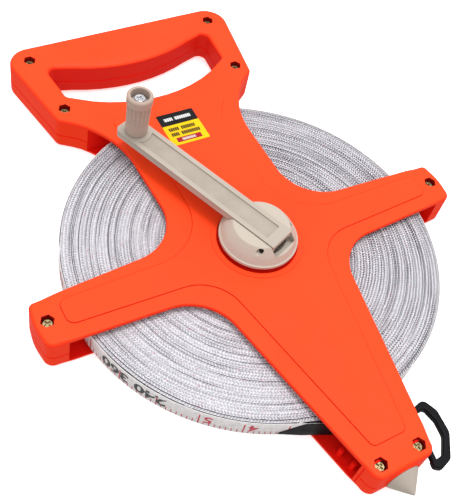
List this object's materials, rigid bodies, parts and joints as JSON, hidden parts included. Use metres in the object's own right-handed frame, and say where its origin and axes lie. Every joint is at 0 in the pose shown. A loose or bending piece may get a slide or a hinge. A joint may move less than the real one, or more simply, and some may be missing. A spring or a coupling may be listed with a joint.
{
  "type": "surveyor tape reel",
  "caption": "Open-frame surveyor's tape reel with a D-handle, folding crank, ground spike and a pull ring on the tape's end.",
  "frame": {"origin": "on the reel's axis, at the back face that the frame lies on", "axes": "+Z along the reel axis out of the crank side, +Y towards the handle, +X towards the side where the tape's end ring comes out"},
  "size_m": [0.2884, 0.3775, 0.0703],
  "materials": {
    "shell_orange": "fine satin moulded ABS",
    "grip_grey": "satin moulded plastic, warm light grey",
    "zinc_screw": "yellow zinc plated, worn bright on the cross recess",
    "steel": "bright plated steel",
    "label_print": "printed vinyl sticker, black band over yellow",
    "tape_strip": "white coated fibreglass strip with woven threads showing at the edge",
    "sleeve_black": "soft black vinyl",
    "ring_black": "satin black nylon"
  },
  "bodies": {
    "frame": {"front_shell": "shell_orange", "back_shell": "shell_orange", "case_screws": "zinc_screw", "rear_cap": "shell_orange", "ground_spike": "grip_grey", "label": "label_print"},
    "reel": {"drum_front": "shell_orange", "drum_rear": "shell_orange", "drum_screws": "steel", "tape_anchor": "steel", "tape_roll": "tape_strip", "crank_hub": "grip_grey", "hub_screw": "steel", "hub_washer": "steel", "arm_pin": "steel"},
    "crank": {"crank_arm": "grip_grey", "knob_screw": "steel", "knob_washer": "steel"},
    "crank_knob": {"knob": "grip_grey"},
    "tape_end": {"tape_tail": "tape_strip", "tail_sleeve": "sleeve_black", "sleeve_rivets": "steel", "end_clasp": "ring_black"},
    "pull_ring": {"end_ring": "ring_black"}
  },
  "joints": [
    {"name": "reel_spin", "type": "hinge", "parent": "frame", "child": "reel", "pos_m": [0, 0, 0.012], "axis": [0, 0, 1], "continuous": true},
    {"name": "crank_fold", "type": "hinge", "parent": "reel", "child": "crank", "pos_m": [0.004, -0.01014, 0.037], "axis": [0.9304, 0.3665, 0], "range_deg": [0, 160]},
    {"name": "knob_spin", "type": "hinge", "parent": "crank", "child": "crank_knob", "pos_m": [-0.03738, 0.0949, 0.05], "axis": [0, 0, 1], "continuous": true},
    {"name": "tape_pull", "type": "slide", "parent": "frame", "child": "tape_end", "axis": [0.9135, -0.4067, 0], "range_m": [0, 0.03]},
    {"name": "ring_swing", "type": "hinge", "parent": "tape_end", "child": "pull_ring", "pos_m": [0.0256, -0.141, 0.012], "axis": [0.1977, 0.9803, 0], "range_deg": [-75, 75]}
  ]
}
